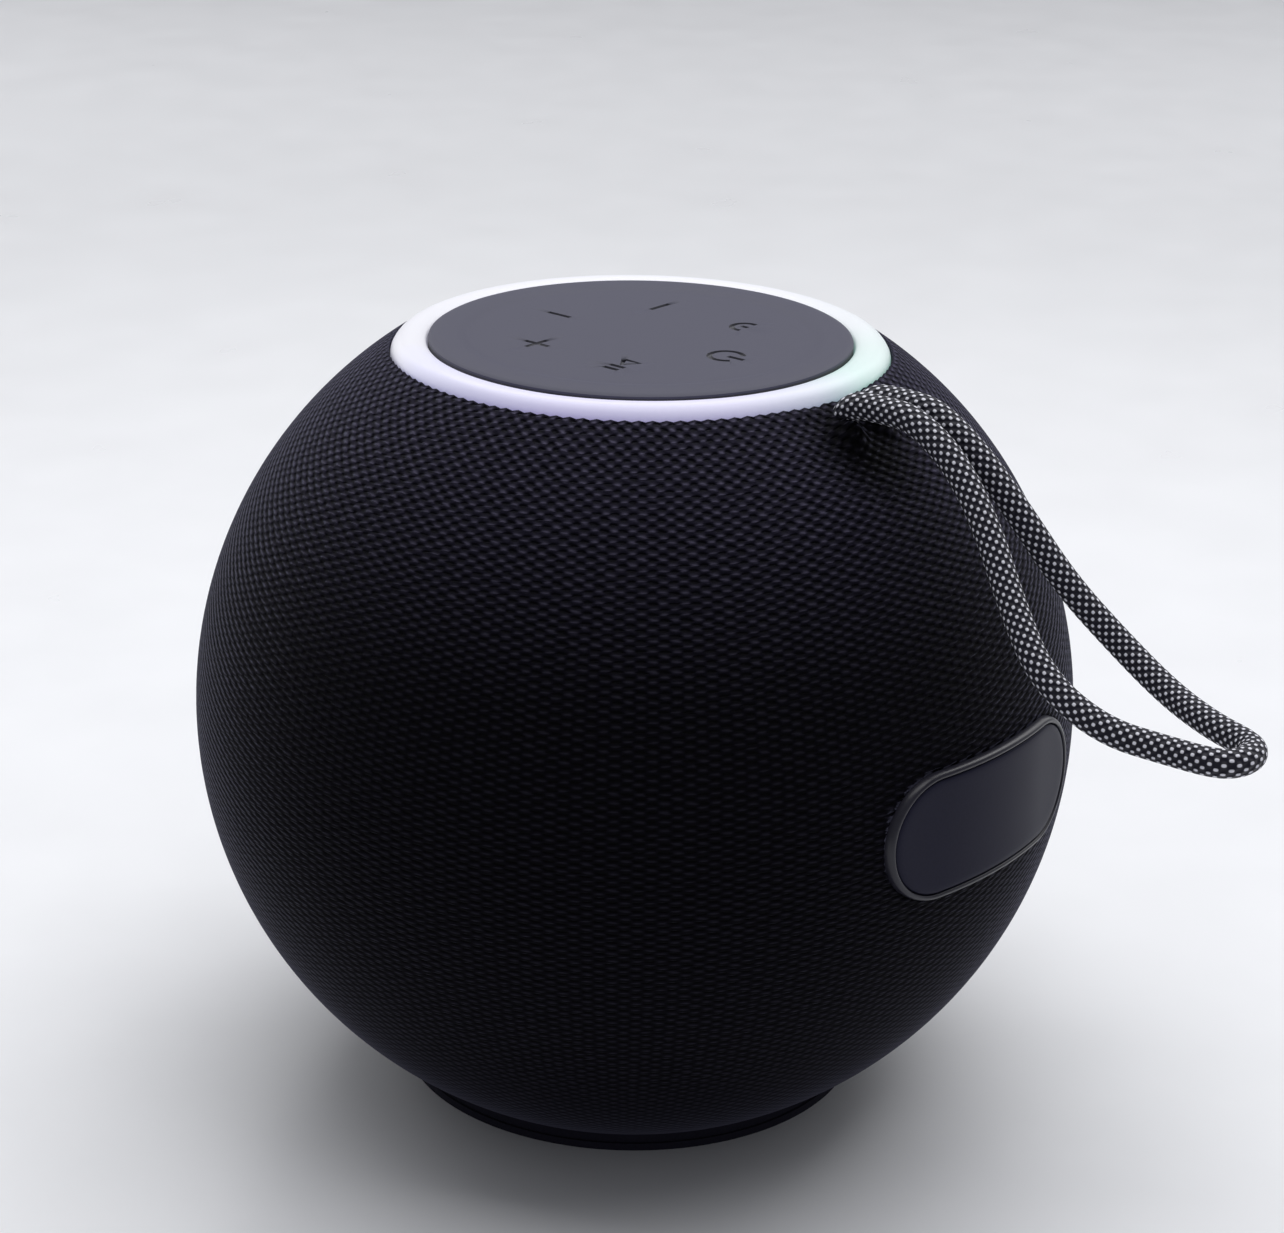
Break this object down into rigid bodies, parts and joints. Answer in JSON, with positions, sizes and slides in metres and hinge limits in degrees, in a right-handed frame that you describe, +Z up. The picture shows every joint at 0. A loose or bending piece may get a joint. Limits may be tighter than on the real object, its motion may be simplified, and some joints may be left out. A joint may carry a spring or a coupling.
{
  "type": "smart speaker",
  "caption": "Ball-shaped portable speaker in black knit, with a lit ring round a rubber control pad, a hinged port flap, a braided rope loop and a flat foot.",
  "frame": {"origin": "centre of the rubber foot's underside, on the surface the speaker stands on", "axes": "+Z up through the control pad; +Y towards the port flap and the rope loop; -Y the way the driver faces; X left and right"},
  "size_m": [0.126, 0.1639, 0.112],
  "materials": {
    "knit": "fine black knitted mesh",
    "shell": "moulded black",
    "pad": "smooth grey silicone",
    "key_rubber": "smooth grey silicone with a pressed-in sign",
    "ring": "translucent white, lit",
    "foot": "black rubber",
    "bezel": "smooth dark grey",
    "flap": "smooth dark blue-grey silicone",
    "rope": "round braid, black with white flecks",
    "foam": "black foam",
    "steel": "zinc-plated",
    "black_steel": "black, satin",
    "ferrite": "sintered ferrite",
    "copper": "enamelled copper wire",
    "paper": "coated paper cone",
    "cloth_ochre": "resin-stiffened cloth",
    "board": "green circuit board",
    "chip": "black epoxy",
    "led": "white LED",
    "can": "stamped shield can",
    "cap_sleeve": "heat-shrink sleeve",
    "socket": "off-white nylon",
    "cell_wrap": "blue heat-shrink wrap",
    "lead": "red silicone-covered wire",
    "ribbon": "flat flex cable"
  },
  "bodies": {
    "speaker": {"front_shell": "shell", "rear_shell": "shell", "seam_gasket": "foam", "seam_screws": "steel", "knitted_cover": "knit", "base_foot": "foot", "base_plate": "shell", "base_screws": "steel", "top_deck": "shell", "deck_screws": "steel", "button_board": "board", "key_switches": "can", "microphone": "can", "light_ring": "ring", "led_board": "board", "leds": "led", "control_pad": "pad", "driver_gasket": "foam", "driver_frame": "black_steel", "top_plate": "steel", "magnet": "ferrite", "yoke": "steel", "driver_surround": "foot", "driver_spider": "cloth_ochre", "driver_screws": "steel", "radiator_frame": "black_steel", "radiator_surround": "foot", "radiator_screws": "steel", "port_bezel": "bezel", "port_tray": "shell", "tray_screws": "steel", "flap_strap": "flap", "main_board": "board", "board_chips": "chip", "radio_module": "can", "capacitors": "cap_sleeve", "board_sockets": "socket", "usb_c_port": "can", "audio_jack": "chip", "card_slot": "can", "battery_cradle": "shell", "battery_cell": "cell_wrap", "battery_strap": "foam", "rope_anchor": "shell", "anchor_screws": "steel", "rope_loop": "rope", "speaker_lead": "lead", "battery_lead": "lead", "button_ribbon": "ribbon"},
    "flap": {"port_flap": "flap"},
    "cone_unit": {"voice_coil": "copper", "driver_cone": "paper", "dust_cap": "paper"},
    "bass_plate": {"radiator_plate": "steel"},
    "key_play": {"key_play": "key_rubber"},
    "key_power": {"key_power": "key_rubber"},
    "key_light": {"key_light": "key_rubber"},
    "key_minus": {"key_minus": "key_rubber"},
    "key_link": {"key_link": "key_rubber"},
    "key_plus": {"key_plus": "key_rubber"}
  },
  "joints": [
    {"name": "key_play_press", "type": "slide", "parent": "speaker", "child": "key_play", "axis": [0, 0, -1], "range_m": [0, 0.0004], "stiffness_N_per_m": 1500},
    {"name": "key_power_press", "type": "slide", "parent": "speaker", "child": "key_power", "axis": [0, 0, -1], "range_m": [0, 0.0004], "stiffness_N_per_m": 1500},
    {"name": "key_light_press", "type": "slide", "parent": "speaker", "child": "key_light", "axis": [0, 0, -1], "range_m": [0, 0.0004], "stiffness_N_per_m": 1500},
    {"name": "key_minus_press", "type": "slide", "parent": "speaker", "child": "key_minus", "axis": [0, 0, -1], "range_m": [0, 0.0004], "stiffness_N_per_m": 1500},
    {"name": "key_link_press", "type": "slide", "parent": "speaker", "child": "key_link", "axis": [0, 0, -1], "range_m": [0, 0.0004], "stiffness_N_per_m": 1500},
    {"name": "key_plus_press", "type": "slide", "parent": "speaker", "child": "key_plus", "axis": [0, 0, -1], "range_m": [0, 0.0004], "stiffness_N_per_m": 1500},
    {"name": "flap_hinge", "type": "hinge", "parent": "speaker", "child": "flap", "pos_m": [-0.01975, 0.06077, 0.05677], "axis": [0, 0, 1], "range_deg": [0, 100], "deforming": ["flap_strap"]},
    {"name": "cone_travel", "type": "slide", "parent": "speaker", "child": "cone_unit", "axis": [0, -1, 0], "range_m": [-0.0015, 0.0015], "stiffness_N_per_m": 1500, "deforming": ["driver_surround", "driver_spider"]},
    {"name": "bass_plate_travel", "type": "slide", "parent": "speaker", "child": "bass_plate", "axis": [0, 0.766, -0.6428], "range_m": [-0.002, 0.002], "stiffness_N_per_m": 900, "deforming": ["radiator_surround"]}
  ]
}
